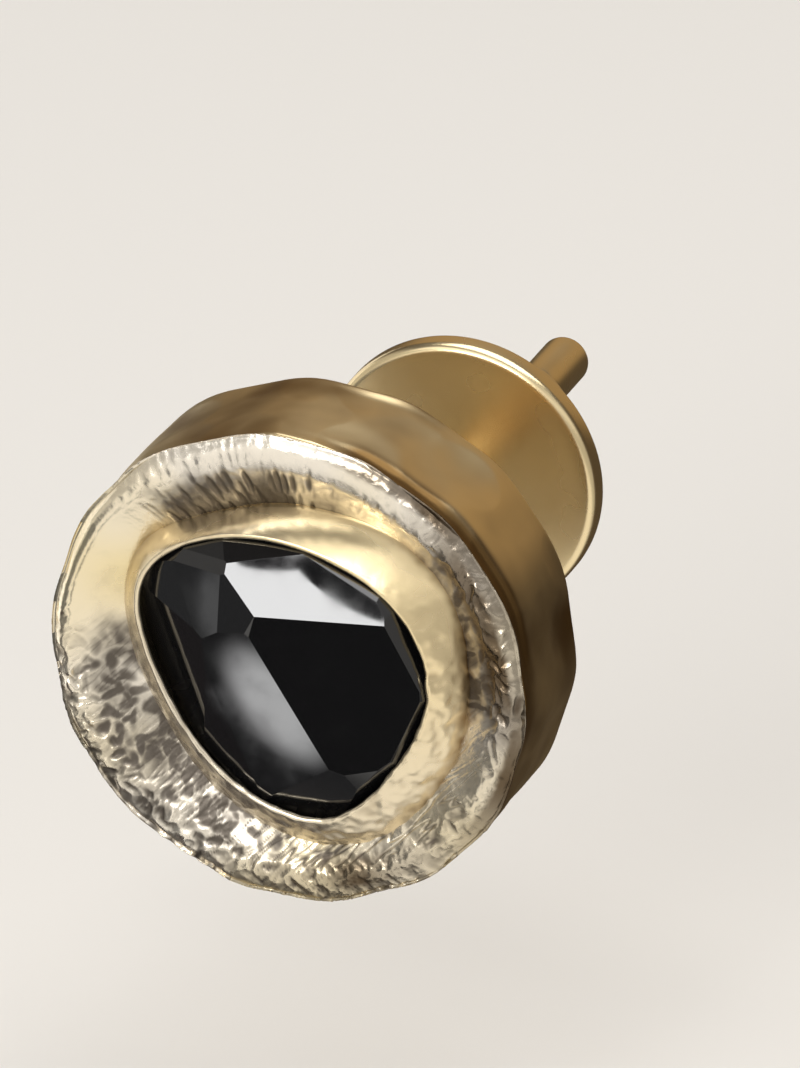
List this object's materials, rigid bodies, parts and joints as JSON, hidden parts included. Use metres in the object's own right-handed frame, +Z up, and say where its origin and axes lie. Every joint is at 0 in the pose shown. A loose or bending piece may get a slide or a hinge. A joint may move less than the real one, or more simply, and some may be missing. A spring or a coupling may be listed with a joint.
{
  "type": "stud earring",
  "caption": "Round hammered gold stud earring with a black faceted stone in a raised collar, straight post and friction nut.",
  "frame": {"origin": "middle of the drum's flat back, where it lies on the front of the ear lobe", "axes": "+Y back through the ear lobe along the post, the stone looks along -Y, +Z up as worn"},
  "size_m": [0.0078, 0.0131, 0.0078],
  "materials": {
    "yellow_gold": "polished",
    "pale_hammered_gold": "satin",
    "black_stone": "polished"
  },
  "bodies": {
    "root": {"setting": "yellow_gold", "stone": "black_stone", "ear_nut": "yellow_gold"}
  },
  "joints": []
}
